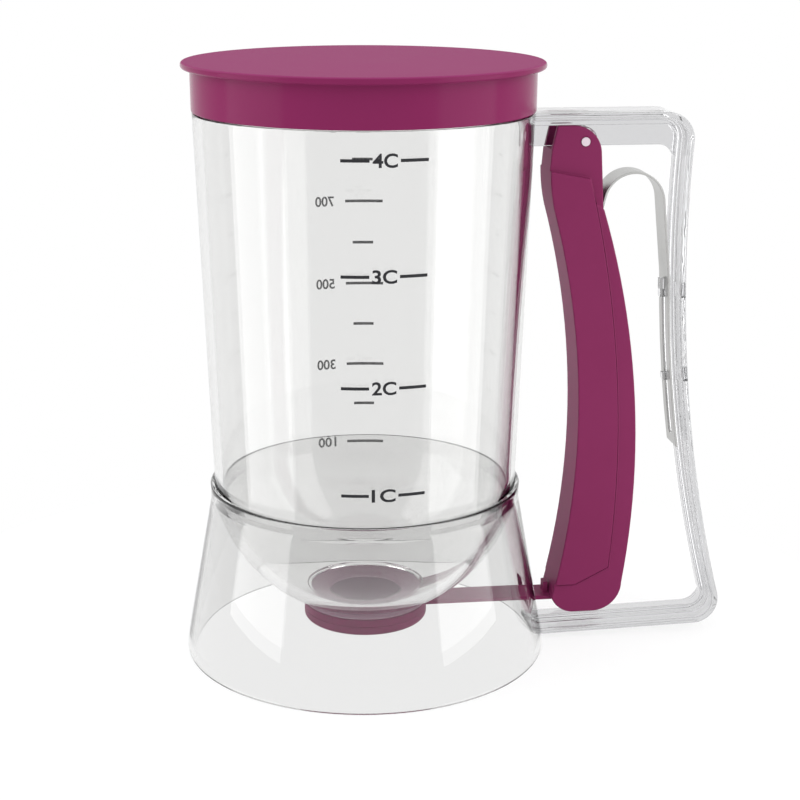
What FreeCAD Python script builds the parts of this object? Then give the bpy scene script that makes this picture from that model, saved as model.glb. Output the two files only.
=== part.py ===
import FreeCAD, Part
import os
import re

import Sketcher

# A hand-held dispenser for runny batter: a clear measuring jug with a round bowl for a
# bottom stands inside a flared skirt. A handle loop carries a squeeze trigger, whose foot
# holds an arm that presses a soft seal up against the outlet. A leaf spring keeps it shut,
# and a cap covers the top.
#
# The Z axis is the axis of the jug, and z = 0 is the plane that the skirt stands on.
# +X points from the jug towards the handle. Lengths are millimetres.

SIZES = {
    # Cap, neck and jug
    "overall_height": 185.0,
    "lid_plate": 2.0,
    "lid_wall": 1.2,
    "lid_overhang": 2.7,
    "lid_skirt_height": 12.5,
    "lid_clearance": 0.3,
    "lid_seat_gap": 0.1,
    "lid_foot_gap": 0.3,
    "shoulder_radius": 51.2,
    "neck_step": 1.2,
    "neck_wall": 1.2,
    "wall_taper": 4.2,
    "junction_height": 50.0,
    "bowl_bulge": 1.0,
    "bowl_wall": 3.2,
    "seat_step": 1.404,
    "seat_radius": 20.2,
    "outlet_radius": 12.0,
    # Skirt
    "base_flare": 5.8,
    "skirt_wall": 2.0,
    "foot_land": 2.5,
    "foot_round": 0.5,
    "collar_wall": 1.4,
    "collar_height": 5.0,
    "collar_blend": 12.0,
    "slot_side_gap": 1.5,
    "slot_below_arm": 2.9,
    "slot_above_arm": 4.1,
    "slot_corner": 1.6,
    # Handle loop: a flat band with a rib along the middle of its inner face
    "handle_drop": 0.9,
    "band_half_width": 8.25,
    "top_band": 2.1,
    "grip_band": 1.9,
    "foot_band": 2.2,
    "rib_half_width": 2.4,
    "rib_depth": 2.3,
    "rib_root": 0.9,
    "web_half_width": 1.2,
    "web_depth": 10.6,
    "web_corner": 5.0,
    "grip_reach": 32.6,
    "grip_radius": 460.0,
    "waist_drop": 37.3,
    "foot_height": 2.8,
    "foot_root_height": 1.4,
    "top_corner": 8.5,
    "foot_corner": 8.0,
    "mould_pocket_depth": 1.1,
    "mould_pocket_half_width": 1.0,
    # Pivot
    "pin_reach": 9.5,
    "pin_drop": 8.7,
    "pin_radius": 1.35,
    "pin_clearance": 0.06,
    "pin_stand_out": 0.2,
    "boss_radius": 4.2,
    "boss_side_gap": 0.6,
    # Trigger: a channel that is open towards the grip
    "head_half_width": 6.5,
    "head_wall": 2.0,
    "head_radius": 8.8,
    "head_back": 3.6,
    "head_drop": 3.9,
    "head_front": 8.7,
    "jaw_front": 10.8,
    "jaw_drop": 8.6,
    "jaw_radius": 53.0,
    "nape_drop": 20.6,
    "trigger_half_width": 7.5,
    "trigger_wall": 1.9,
    "trigger_front_wall": 2.2,
    "trigger_floor": 2.3,
    "trigger_foot_drop": 0.3,
    "front_radius": 250.0,
    "front_peak_drop": 88.6,
    "rear_reach": 19.1,
    "rear_radius": 268.0,
    "rear_peak_drop": 102.6,
    "rear_corner": 9.5,
    "chin_back": 0.5,
    "chin_radius": 8.0,
    "toe_height": 5.15,
    "panel_proud": 0.5,
    "panel_radius": 360.0,
    "panel_foot_reach": 11.4,
    "panel_foot_height": 15.0,
    "panel_top_reach": 1.7,
    "panel_top_drop": 11.1,
    "web_clearance": 0.5,
    "channel_relief": 10.0,
    # Arm, cup and seal
    "arm_half_width": 5.0,
    "arm_thickness": 1.3,
    "arm_drop": 1.1,
    "arm_tail": 3.5,
    "arm_clearance": 0.1,
    "arm_lug": 1.6,
    "arm_lug_height": 3.5,
    "arm_lug_half_width": 2.0,
    "ring_height": 2.3,
    "ring_wall": 1.5,
    "seal_gap": 0.15,
    "seal_flange": 0.5,
    "seal_flange_radius": 19.2,
    "seal_stem_radius": 16.6,
    "cup_clearance": 0.05,
    "cup_spigot_wall": 1.4,
    "cup_depth": 2.95,
    "cup_floor": 2.0,
    "cup_round": 1.2,
    # Leaf spring and the hooks that hold it
    "spring_half_width": 5.2,
    "spring_thickness": 0.7,
    "spring_gap": 0.15,
    "spring_loop_radius": 9.4,
    "spring_loop_reach": 16.2,
    "spring_loop_drop": 19.3,
    "spring_tip_drop": 48.6,
    "spring_bend_drop": 42.6,
    "spring_end_drop": 98.0,
    "spring_slot_half_width": 1.8,
    "spring_slot_end": 3.4,
    "hook_gap": 0.15,
    "hook_half_width": 1.4,
    "hook_height": 2.4,
    "hook_nose": 1.3,
    "hook_nose_rise": 3.4,
    "upper_hook_drop": 47.3,
    "lower_hook_drop": 74.4,
    # Printed scales
    "ink_thickness": 0.12,
    "ink_line": 0.9,
    "cup_mark_rise": 14.8,
    "cup_mark_pitch": 32.5,
    "cup_mark_inner": 4.3,
    "cup_mark_outer": 12.2,
    "hundred_mark_rise": 2.6,
    "hundred_mark_pitch": 13.73,
    "long_mark_start": -0.9,
    "long_mark_end": 11.9,
    "short_mark_start": 1.6,
    "short_mark_end": 8.6,
}
CUP_MARKS = 4
HUNDRED_MARKS = 8

# Places that several pieces share, in words of the sheet
LID_FOOT = "(overall_height - lid_plate - lid_skirt_height)"
SHOULDER = f"({LID_FOOT} - lid_foot_gap)"
RIM = "(overall_height - lid_plate - lid_seat_gap)"
NECK = "(shoulder_radius - neck_step)"
FOOT_RADIUS = "(shoulder_radius - wall_taper)"
BOWL = f"({FOOT_RADIUS} + bowl_bulge)"
BOWL_CENTRE = f"(junction_height + sqrt({BOWL}^2 - {FOOT_RADIUS}^2))"
BOWL_INSIDE = f"({BOWL} - bowl_wall)"
SEAT = f"({BOWL_CENTRE} - sqrt({BOWL}^2 - seat_radius^2) - seat_step)"
COLLAR_TOP = "(junction_height + collar_height)"
BASE = "(shoulder_radius + base_flare)"
HANDLE_TOP = f"({SHOULDER} - handle_drop)"
PIN_X = f"({BASE} + pin_reach)"
PIN_Z = f"({HANDLE_TOP} - pin_drop)"
WEB_FOOT = f"({HANDLE_TOP} - web_depth)"
GRIP_X = f"({PIN_X} + grip_reach)"
GRIP_Z = f"({HANDLE_TOP} - waist_drop)"
LOOP_ROOT = f"({FOOT_RADIUS} - skirt_wall)"
RIB_FACE = "(grip_band + rib_depth)"
RING_TOP = f"({SEAT} - seal_gap - seal_flange)"
RING_FOOT = f"({RING_TOP} - ring_height)"
CUP_FOOT = f"({RING_FOOT} - cup_depth)"
SPIGOT = "(seal_stem_radius + cup_clearance + cup_spigot_wall)"
RING_INSIDE = f"({SPIGOT} + cup_clearance)"
RING_OUTSIDE = f"({RING_INSIDE} + ring_wall)"
ARM_TOP = f"({SEAT} - arm_drop)"
ARM_FOOT = f"({ARM_TOP} - arm_thickness)"
TRIGGER_FOOT = f"({CUP_FOOT} - trigger_foot_drop)"

document = FreeCAD.newDocument("batter_dispenser")
sheet = document.addObject("Spreadsheet::Sheet", "sizes")
for row, (name, size) in enumerate(SIZES.items(), start=1):
    sheet.set(f"A{row}", name.replace("_", " "))
    sheet.set(f"B{row}", str(size))
    sheet.setAlias(f"B{row}", name)
document.recompute()

WORD = re.compile(r"\b(" + "|".join(SIZES) + r")\b")
PARTS = {}


def bound(text):
    """The expression on the sheet that stands for words of the sheet."""
    return WORD.sub(r"sizes.\1", text)


def number(text):
    """The value that such words have now."""
    return float(sheet.evalExpression(bound(text)))


def wall_at(height):
    """Outer radius of the jug's tapered wall at a height."""
    taper = f"wall_taper / ({SHOULDER} - junction_height)"
    return f"({FOOT_RADIUS} + {taper} * ({height} - junction_height))"


def grip_at(depth, height):
    """X of the line that runs along the grip, depth inside its outer face, at a height."""
    radius = f"(grip_radius + {depth})"
    return f"({GRIP_X} + grip_radius - sqrt({radius}^2 - ({height} - {GRIP_Z})^2))"


def front_at(depth, height):
    """X of the trigger's front face, or of a line at a depth behind it, at a height."""
    radius = f"(front_radius + {depth})"
    middle = f"({PIN_Z} - front_peak_drop)"
    return f"({PIN_X} - front_radius + sqrt({radius}^2 - ({height} - {middle})^2))"


def rear_at(height):
    """X of the trigger's rear edge at a height."""
    middle = f"({PIN_Z} - rear_peak_drop)"
    return f"({PIN_X} + rear_reach - rear_radius + sqrt(rear_radius^2 - ({height} - {middle})^2))"


def new_body(label):
    body = document.addObject("PartDesign::Body", label)
    body.Label = label
    PARTS[label] = body
    return body


def new_sketch(body, plane, name, lift="0"):
    """A sketch on one of the body's own planes, or raised off it."""
    sketch = body.newObject("Sketcher::SketchObject", name)
    origin_plane = next(f for f in body.Origin.OriginFeatures if f.Role == plane)
    sketch.AttachmentSupport = [(origin_plane, "")]
    sketch.MapMode = "FlatFace"
    if lift != "0":
        sketch.setExpression(".AttachmentOffset.Base.z", bound(lift))
    return sketch


def hold(sketch, kind, geometry, point, text):
    """Ties one coordinate of a point to the sheet."""
    value = number(text)
    if abs(value) < 1e-9:
        axis = -2 if kind == "DistanceX" else -1
        sketch.addConstraint(Sketcher.Constraint("PointOnObject", geometry, point, axis))
        return
    index = sketch.addConstraint(Sketcher.Constraint(kind, -1, 1, geometry, point, value))
    sketch.setExpression(f"Constraints[{index}]", bound(text))


def hold_radius(sketch, geometry, text):
    index = sketch.addConstraint(Sketcher.Constraint("Radius", geometry, number(text)))
    sketch.setExpression(f"Constraints[{index}]", bound(text))


def arc_between(first, last, radius, side):
    """The short arc from first to last, whose centre is on the left of the way if side is 1."""
    way = last - first
    left = FreeCAD.Vector(-way.y, way.x, 0).normalize()
    rise = max(radius**2 - (way.Length / 2) ** 2, 0.0) ** 0.5
    centre = first + way * 0.5 + left * (rise * side)
    round_line = Part.Circle(centre, FreeCAD.Vector(0, 0, 1), radius)
    start, end = (first, last) if side > 0 else (last, first)
    return Part.ArcOfCircle(round_line, round_line.parameter(start), round_line.parameter(end))


def outline(sketch, corners, arcs=None):
    """Draws a closed outline through the corners, each a pair of sheet words.

    arcs[i] is the (radius, side) of the arc that leads on from corner i."""
    arcs = arcs or {}
    points = [FreeCAD.Vector(number(x), number(y), 0) for x, y in corners]
    sides = []
    for i, point in enumerate(points):
        following = points[(i + 1) % len(points)]
        if i in arcs:
            radius, side = arcs[i]
            made = sketch.addGeometry(arc_between(point, following, number(radius), side), False)
            hold_radius(sketch, made, radius)
            sides.append((made, 1, 2) if side > 0 else (made, 2, 1))
        else:
            made = sketch.addGeometry(Part.LineSegment(point, following), False)
            sides.append((made, 1, 2))
    for i, (x, y) in enumerate(corners):
        before, here = sides[i - 1], sides[i]
        sketch.addConstraint(Sketcher.Constraint("Coincident", before[0], before[2], here[0], here[1]))
        hold(sketch, "DistanceX", here[0], here[1], x)
        hold(sketch, "DistanceY", here[0], here[1], y)


def rounded_box(sketch, left, right, foot, top, radius):
    """A rectangle with rounded corners."""
    outline(
        sketch,
        [
            (f"{left} + {radius}", foot),
            (f"{right} - {radius}", foot),
            (right, f"{foot} + {radius}"),
            (right, f"{top} - {radius}"),
            (f"{right} - {radius}", top),
            (f"{left} + {radius}", top),
            (left, f"{top} - {radius}"),
            (left, f"{foot} + {radius}"),
        ],
        {corner: (radius, 1) for corner in (1, 3, 5, 7)},
    )


def circle(sketch, x, y, radius):
    centre = FreeCAD.Vector(number(x), number(y), 0)
    made = sketch.addGeometry(Part.Circle(centre, FreeCAD.Vector(0, 0, 1), number(radius)), False)
    hold(sketch, "DistanceX", made, 3, x)
    hold(sketch, "DistanceY", made, 3, y)
    hold_radius(sketch, made, radius)


def turn(body, sketch, kind="Revolution"):
    """Turns a sketch once round the Z axis, as a solid or as a Groove."""
    feature = body.newObject(f"PartDesign::{kind}", f"{sketch.Name}_{kind.lower()}")
    feature.Profile = sketch
    feature.ReferenceAxis = (sketch, ["V_Axis"])
    feature.Angle = 360
    return feature


def across(body, sketch, half_width, kind="Pad"):
    """Pads or cuts a sketch by the same distance to both sides of its plane."""
    feature = body.newObject(f"PartDesign::{kind}", f"{sketch.Name}_{kind.lower()}")
    feature.Profile = sketch
    feature.SideType = "Symmetric"
    feature.setExpression("Length", bound(f"2 * ({half_width})"))
    return feature


def outward(body, sketch, length, kind="Pocket"):
    """Pads or cuts a sketch towards the positive side of its plane."""
    feature = body.newObject(f"PartDesign::{kind}", f"{sketch.Name}_{kind.lower()}")
    feature.Profile = sketch
    feature.Reversed = kind == "Pocket"
    feature.setExpression("Length", bound(length))
    document.recompute()
    return feature


def soften(body, base, name, radius, rings):
    """Rounds the full circles of base that lie at the given (radius, height) places."""
    document.recompute()
    spots = [(number(r), number(z)) for r, z in rings]
    edges = []
    for i, edge in enumerate(base.Shape.Edges, start=1):
        box = edge.BoundBox
        for r, z in spots:
            if box.ZLength < 1e-4 and abs(box.ZMin - z) < 0.01 and abs(max(box.XMax, -box.XMin) - r) < 0.01:
                edges.append(f"Edge{i}")
    if not edges:
        raise ValueError(f"{name} finds no edge to round")
    fillet = body.newObject("PartDesign::Fillet", name)
    fillet.Base = (base, edges)
    fillet.setExpression("Radius", bound(radius))
    return fillet


def make_lid():
    """The push-on cap: a flat plate with an overhanging rim, and a skirt over the neck."""
    body = new_body("lid")
    inside = f"{NECK} + lid_clearance"
    rim = f"{inside} + lid_wall + lid_overhang"
    underside = "overall_height - lid_plate"
    sketch = new_sketch(body, "XZ_Plane", "lid_profile")
    outline(
        sketch,
        [
            ("0", underside),
            (inside, underside),
            (inside, LID_FOOT),
            (f"{inside} + lid_wall", LID_FOOT),
            (f"{inside} + lid_wall", underside),
            (rim, underside),
            (rim, "overall_height"),
            ("0", "overall_height"),
        ],
    )
    solid = turn(body, sketch)
    soften(body, solid, "lid_rim_round", "0.4 * lid_plate", [(rim, "overall_height"), (rim, underside)])


def make_container():
    """The jug: a tapered wall, a neck for the cap, a round bowl and a flat seat at the outlet."""
    body = new_body("container")
    sketch = new_sketch(body, "XZ_Plane", "container_profile")
    outline(
        sketch,
        [
            ("outlet_radius", SEAT),
            ("seat_radius", SEAT),
            ("seat_radius", f"{SEAT} + seat_step"),
            (FOOT_RADIUS, "junction_height"),
            ("shoulder_radius", SHOULDER),
            (NECK, SHOULDER),
            (NECK, RIM),
            (f"{NECK} - neck_wall", RIM),
            (BOWL_INSIDE, BOWL_CENTRE),
            ("outlet_radius", f"{BOWL_CENTRE} - sqrt({BOWL_INSIDE}^2 - outlet_radius^2)"),
        ],
        {2: (BOWL, 1), 8: (BOWL_INSIDE, -1)},
    )
    turn(body, sketch)


def make_base_skirt():
    """The flared stand, with a collar round the foot of the jug's wall and a slot for the arm."""
    body = new_body("base_skirt")
    sketch = new_sketch(body, "XZ_Plane", "skirt_profile")
    junction = (f"{FOOT_RADIUS} + collar_wall", "junction_height")
    outline(
        sketch,
        [
            (wall_at(COLLAR_TOP), COLLAR_TOP),
            (FOOT_RADIUS, "junction_height"),
            (f"{BASE} - skirt_wall", "foot_land"),
            (f"{BASE} - skirt_wall", "0"),
            (BASE, "0"),
            (BASE, "foot_land"),
            junction,
            (f"{wall_at(COLLAR_TOP)} + collar_wall", COLLAR_TOP),
        ],
    )
    solid = turn(body, sketch)
    feet = [(BASE, "0"), (f"{BASE} - skirt_wall", "0")]
    rounded = soften(body, solid, "foot_rounding", "foot_round", feet)
    soften(body, rounded, "collar_blending", "collar_blend", [junction])

    window = new_sketch(body, "YZ_Plane", "slot_outline")
    half_width = "(arm_half_width + slot_side_gap)"
    low = f"({ARM_FOOT} - slot_below_arm)"
    high = f"({ARM_TOP} + slot_above_arm)"
    rounded_box(window, f"-{half_width}", half_width, low, high, "slot_corner")
    document.recompute()
    whole = body.Tip.Shape.Volume
    slot = outward(body, window, f"{BASE} + foot_land")
    if not 0 < whole - slot.Shape.Volume < 0.05 * whole or slot.AddSubShape.BoundBox.XMin < -1:
        raise ValueError("the arm's slot is cut on the wrong side")


def corner_centre(depth, radius, height):
    """X of the centre of a corner arc that touches the grip line at a depth."""
    reach = f"(grip_radius + {depth} + {radius})"
    return f"({GRIP_X} + grip_radius - sqrt({reach}^2 - ({height} - {GRIP_Z})^2))"


def corner_touch(depth, radius, height):
    """The point where such a corner arc, whose centre is at a height, touches the grip line."""
    share = f"({radius} / (grip_radius + {depth} + {radius}))"
    centre = corner_centre(depth, radius, height)
    x = f"({centre} + ({GRIP_X} + grip_radius - {centre}) * {share})"
    z = f"({height} + ({GRIP_Z} - {height}) * {share})"
    return x, z


def handle_loop(outer_depths, inner_depths):
    """Corners and arcs of a C that follows the handle between two lines inside its outer face.

    Each line has its depth under the top, inside the grip and above the foot."""
    corners = []
    arcs = {}
    for (top, grip, foot), side in ((outer_depths, 1), (inner_depths, -1)):
        top_z = f"({HANDLE_TOP} - {top})"
        foot_z = f"(foot_height + {foot})"
        top_radius = f"(top_corner - {top})"
        foot_radius = f"(foot_corner - {foot})"
        top_centre = f"({top_z} - {top_radius})"
        foot_centre = f"({foot_z} + {foot_radius})"
        line = [
            (LOOP_ROOT, f"(foot_root_height + {foot})"),
            (corner_centre(grip, foot_radius, foot_centre), foot_z),
            corner_touch(grip, foot_radius, foot_centre),
            corner_touch(grip, top_radius, top_centre),
            (corner_centre(grip, top_radius, top_centre), top_z),
            (LOOP_ROOT, top_z),
        ]
        rounds = [(foot_radius, side), (f"(grip_radius + {grip})", -side), (top_radius, side)]
        if side < 0:
            line.reverse()
            rounds.reverse()
        for i, arc in enumerate(rounds, start=len(corners) + 1):
            arcs[i] = arc
        corners += line
    return corners, arcs


def make_handle_frame():
    """The handle loop, with the web and boss that carry the pivot and the spring's two hooks."""
    body = new_body("handle_frame")
    band = new_sketch(body, "XZ_Plane", "band_outline")
    outline(band, *handle_loop(("0", "0", "0"), ("top_band", "grip_band", "foot_band")))
    across(body, band, "band_half_width")

    rib = new_sketch(body, "XZ_Plane", "rib_outline")
    rib_outer = ("rib_root", "rib_root", "rib_root")
    rib_inner = ("(top_band + rib_depth)", RIB_FACE, "(foot_band + rib_depth)")
    outline(rib, *handle_loop(rib_outer, rib_inner))
    across(body, rib, "rib_half_width")

    web = new_sketch(body, "XZ_Plane", "web_outline")
    web_corner_foot = f"({WEB_FOOT} - web_corner)"
    corner_foot = f"({HANDLE_TOP} - top_corner)"
    corner_start = corner_centre("grip_band", "(top_corner - top_band)", corner_foot)
    outline(
        web,
        [
            (LOOP_ROOT, WEB_FOOT),
            (f"{grip_at(RIB_FACE, WEB_FOOT)} - web_corner", WEB_FOOT),
            (grip_at(RIB_FACE, web_corner_foot), web_corner_foot),
            (grip_at("grip_band", web_corner_foot), web_corner_foot),
            (grip_at("grip_band", corner_foot), corner_foot),
            (corner_start, f"{HANDLE_TOP} - top_band"),
            (LOOP_ROOT, f"{HANDLE_TOP} - top_band"),
        ],
        {1: ("web_corner", -1)},
    )
    across(body, web, "web_half_width")

    boss = new_sketch(body, "XZ_Plane", "boss_outline")
    circle(boss, PIN_X, PIN_Z, "boss_radius")
    across(body, boss, "head_half_width - head_wall - boss_side_gap")
    bore = new_sketch(body, "XZ_Plane", "bore_outline")
    circle(bore, PIN_X, PIN_Z, "pin_radius + pin_clearance")
    across(body, bore, "band_half_width", "Pocket")

    spring_back = f"({RIB_FACE} + spring_gap + spring_thickness)"
    nose_front = f"({spring_back} + hook_gap + hook_nose)"
    upper = f"({PIN_Z} - upper_hook_drop)"
    upper_hook = new_sketch(body, "XZ_Plane", "upper_hook_outline")
    outline(
        upper_hook,
        [
            (grip_at("grip_band", upper), f"{upper} - hook_height"),
            (grip_at(nose_front, upper), f"{upper} - hook_height"),
            (grip_at(nose_front, upper), f"{upper} + hook_nose_rise"),
            (grip_at(f"({spring_back} + hook_gap)", upper), f"{upper} + hook_nose_rise"),
            (grip_at(f"({spring_back} + hook_gap)", upper), upper),
            (grip_at("grip_band", upper), upper),
        ],
    )
    across(body, upper_hook, "hook_half_width")
    lower = f"({PIN_Z} - lower_hook_drop)"
    lower_hook = new_sketch(body, "XZ_Plane", "lower_hook_outline")
    outline(
        lower_hook,
        [
            (grip_at("grip_band", lower), f"{lower} - hook_height"),
            (grip_at(nose_front, lower), f"{lower} - hook_height"),
            (grip_at(nose_front, lower), lower),
            (grip_at("grip_band", lower), lower),
        ],
    )
    across(body, lower_hook, "hook_half_width")

    for name, level in (("upper", upper), ("lower", lower)):
        pocket = new_sketch(body, "XZ_Plane", f"{name}_mould_pocket")
        low = f"({level} - hook_height)"
        high = f"({level} + hook_height)"
        outline(
            pocket,
            [
                (grip_at("mould_pocket_depth", low), low),
                (f"{GRIP_X} + grip_reach", low),
                (f"{GRIP_X} + grip_reach", high),
                (grip_at("mould_pocket_depth", high), high),
            ],
        )
        across(body, pocket, "mould_pocket_half_width", "Pocket")

    jug = new_sketch(body, "XZ_Plane", "jug_outline")
    outline(
        jug,
        [
            ("0", "-foot_height"),
            (BASE, "-foot_height"),
            (BASE, "foot_land"),
            (f"{FOOT_RADIUS} + collar_wall", "junction_height"),
            (f"{wall_at(COLLAR_TOP)} + collar_wall", COLLAR_TOP),
            (wall_at(COLLAR_TOP), COLLAR_TOP),
            ("shoulder_radius", SHOULDER),
            ("0", SHOULDER),
        ],
    )
    document.recompute()
    whole = body.Tip.Shape.Volume
    saddle = turn(body, jug, "Groove")
    document.recompute()
    if not 0 < saddle.Shape.Volume < whole or saddle.Shape.BoundBox.XMin < number(FOOT_RADIUS):
        raise ValueError("the handle isn't cut back to the jug")


def trigger_front(foot):
    """Corners and arcs of the trigger's front face, from its jaw down to a height."""
    nape = f"({PIN_Z} - nape_drop)"
    corners = [
        (f"{PIN_X} - jaw_front", f"{PIN_Z} - jaw_drop"),
        (front_at("0", nape), nape),
        (front_at("0", foot), foot),
    ]
    return corners, {0: ("jaw_radius", 1), 1: ("front_radius", -1)}


def after(count, arcs):
    """The same arcs for corners that follow some others."""
    return {count + corner: arc for corner, arc in arcs.items()}


def make_trigger():
    """The squeeze lever: two cheeks, a front wall and a floor, hung on the pin by its head."""
    body = new_body("trigger")
    nape = f"({PIN_Z} - nape_drop)"
    toe = f"({TRIGGER_FOOT} + toe_height)"
    heel = f"({TRIGGER_FOOT} + rear_corner)"
    panel_top = f"({WEB_FOOT} - web_clearance)"
    front, front_arcs = trigger_front(toe)
    lower = [
        (f"{PIN_X} - chin_back", TRIGGER_FOOT),
        (f"{rear_at(heel)} - rear_corner", TRIGGER_FOOT),
        (rear_at(heel), heel),
        (rear_at(nape), nape),
    ]
    lower_arcs = {1: ("rear_corner", 1), 2: ("rear_radius", 1)}
    head = [
        (f"{PIN_X} - head_back + head_radius", f"{PIN_Z} - head_drop"),
        (f"{PIN_X} - head_back", f"{PIN_Z} - head_drop + head_radius"),
        (f"{PIN_X} - head_front", f"{PIN_Z} - head_drop + head_radius"),
        (f"{PIN_X} - jaw_front + web_clearance", panel_top),
    ]
    cheek = new_sketch(body, "XZ_Plane", "cheek_outline")
    corners = lower + head + front
    chin = {len(corners) - 1: ("chin_radius", 1)}
    arcs = {**lower_arcs, 4: ("head_radius", 1), **after(len(lower + head), front_arcs), **chin}
    outline(cheek, corners, arcs)
    across(body, cheek, "head_half_width")

    grip_part = new_sketch(body, "XZ_Plane", "grip_part_outline")
    corners = lower + front
    chin = {len(corners) - 1: ("chin_radius", 1)}
    outline(grip_part, corners, {**lower_arcs, **after(len(lower), front_arcs), **chin})
    across(body, grip_part, "trigger_half_width")

    panel = new_sketch(body, "XZ_Plane", "panel_outline")
    panel_front, panel_arcs = trigger_front(heel)
    back = [
        (f"{PIN_X} + chin_back", heel),
        (f"{PIN_X} + panel_foot_reach", f"{TRIGGER_FOOT} + panel_foot_height"),
        (f"{PIN_X} + panel_top_reach", f"{PIN_Z} - panel_top_drop"),
    ]
    outline(panel, back + panel_front, {1: ("panel_radius", 1), **after(len(back), panel_arcs)})
    across(body, panel, "trigger_half_width + panel_proud")

    floor = f"({TRIGGER_FOOT} + trigger_floor)"
    wall_foot = f"({toe} + 0.5 * trigger_floor)"
    behind = f"{PIN_X} + 2 * rear_reach"
    inner_nape = (front_at("trigger_front_wall", nape), nape)
    inner_foot = (front_at("trigger_front_wall", wall_foot), wall_foot)
    inner_arc = ("(front_radius + trigger_front_wall)", -1)
    jaw_inside = f"{PIN_X} - jaw_front + trigger_front_wall"
    hollow = new_sketch(body, "XZ_Plane", "head_hollow")
    outline(
        hollow,
        [
            (f"{PIN_X} - chin_back", floor),
            (behind, floor),
            (behind, f"{PIN_Z} + 2 * head_radius"),
            (f"{PIN_X} - 2 * head_front", f"{PIN_Z} + 2 * head_radius"),
            (f"{PIN_X} - 2 * head_front", panel_top),
            (f"{jaw_inside} + web_clearance", panel_top),
            (jaw_inside, f"{PIN_Z} - jaw_drop"),
            inner_nape,
            inner_foot,
        ],
        {7: inner_arc},
    )
    across(body, hollow, "head_half_width - head_wall", "Pocket")
    channel = new_sketch(body, "XZ_Plane", "channel_hollow")
    outline(
        channel,
        [
            (f"{PIN_X} - chin_back", floor),
            (behind, floor),
            (behind, f"{nape} + channel_relief"),
            inner_nape,
            inner_foot,
        ],
        {3: inner_arc},
    )
    across(body, channel, "trigger_half_width - trigger_wall", "Pocket")

    bore = new_sketch(body, "XZ_Plane", "pin_hole")
    circle(bore, PIN_X, PIN_Z, "pin_radius")
    across(body, bore, "trigger_half_width", "Pocket")

    window = new_sketch(body, "YZ_Plane", "arm_window")
    half_width = "(arm_half_width + arm_clearance)"
    low = f"({ARM_FOOT} - arm_clearance)"
    high = f"({ARM_TOP} + arm_clearance)"
    outline(
        window,
        [(f"-{half_width}", low), (half_width, low), (half_width, high), (f"-{half_width}", high)],
    )
    document.recompute()
    whole = body.Tip.Shape.Volume
    opened = outward(body, window, f"{PIN_X} - chin_back")
    if not opened.Shape.Volume < whole:
        raise ValueError("the arm's window isn't cut")


def make_pivot_pin():
    """The plain pin, tight in the trigger's head and free in the handle's boss."""
    body = new_body("pivot_pin")
    sketch = new_sketch(body, "XZ_Plane", "pin_outline")
    circle(sketch, PIN_X, PIN_Z, "pin_radius")
    across(body, sketch, "head_half_width + pin_stand_out")


def make_valve_arm():
    """The flat arm from the trigger's foot to the ring that carries the cup."""
    body = new_body("valve_arm")
    ring = new_sketch(body, "XY_Plane", "ring_outline", RING_FOOT)
    circle(ring, "0", "0", RING_OUTSIDE)
    outward(body, ring, "ring_height", "Pad")
    strip = new_sketch(body, "XY_Plane", "strip_outline", ARM_FOOT)
    tail = f"({PIN_X} + arm_tail)"
    corners = [
        ("0", "-arm_half_width"),
        (tail, "-arm_half_width"),
        (tail, "arm_half_width"),
        ("0", "arm_half_width"),
    ]
    outline(strip, corners)
    outward(body, strip, "arm_thickness", "Pad")
    lug = new_sketch(body, "XZ_Plane", "lug_outline")
    stop = f"({front_at('0', ARM_TOP)} - arm_clearance)"
    outline(
        lug,
        [
            (f"{stop} - arm_lug", ARM_FOOT),
            (stop, ARM_FOOT),
            (stop, f"{ARM_TOP} + arm_lug_height"),
            (f"{stop} - arm_lug", f"{ARM_TOP} + arm_lug_height"),
        ],
    )
    across(body, lug, "arm_lug_half_width")
    opening = new_sketch(body, "XY_Plane", "ring_opening", CUP_FOOT)
    circle(opening, "0", "0", RING_INSIDE)
    outward(body, opening, SEAT)


def make_valve_cup():
    """The shallow cup that clips up through the arm's ring and holds the seal."""
    body = new_body("valve_cup")
    sketch = new_sketch(body, "XZ_Plane", "cup_profile")
    bore = "(seal_stem_radius + cup_clearance)"
    spigot_top = f"({RING_TOP} - cup_clearance)"
    outline(
        sketch,
        [
            ("0", CUP_FOOT),
            (RING_OUTSIDE, CUP_FOOT),
            (RING_OUTSIDE, RING_FOOT),
            (SPIGOT, RING_FOOT),
            (SPIGOT, spigot_top),
            (bore, spigot_top),
            (bore, f"{CUP_FOOT} + cup_floor"),
            ("0", f"{CUP_FOOT} + cup_floor"),
        ],
    )
    solid = turn(body, sketch)
    soften(body, solid, "cup_foot_round", "cup_round", [(RING_OUTSIDE, CUP_FOOT)])


def make_valve_seal():
    """The soft seal: a thin flange on a stem that fills the cup."""
    body = new_body("valve_seal")
    sketch = new_sketch(body, "XZ_Plane", "seal_profile")
    outline(
        sketch,
        [
            ("0", f"{CUP_FOOT} + cup_floor"),
            ("seal_stem_radius", f"{CUP_FOOT} + cup_floor"),
            ("seal_stem_radius", RING_TOP),
            ("seal_flange_radius", RING_TOP),
            ("seal_flange_radius", f"{RING_TOP} + seal_flange"),
            ("0", f"{RING_TOP} + seal_flange"),
        ],
    )
    turn(body, sketch)


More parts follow.
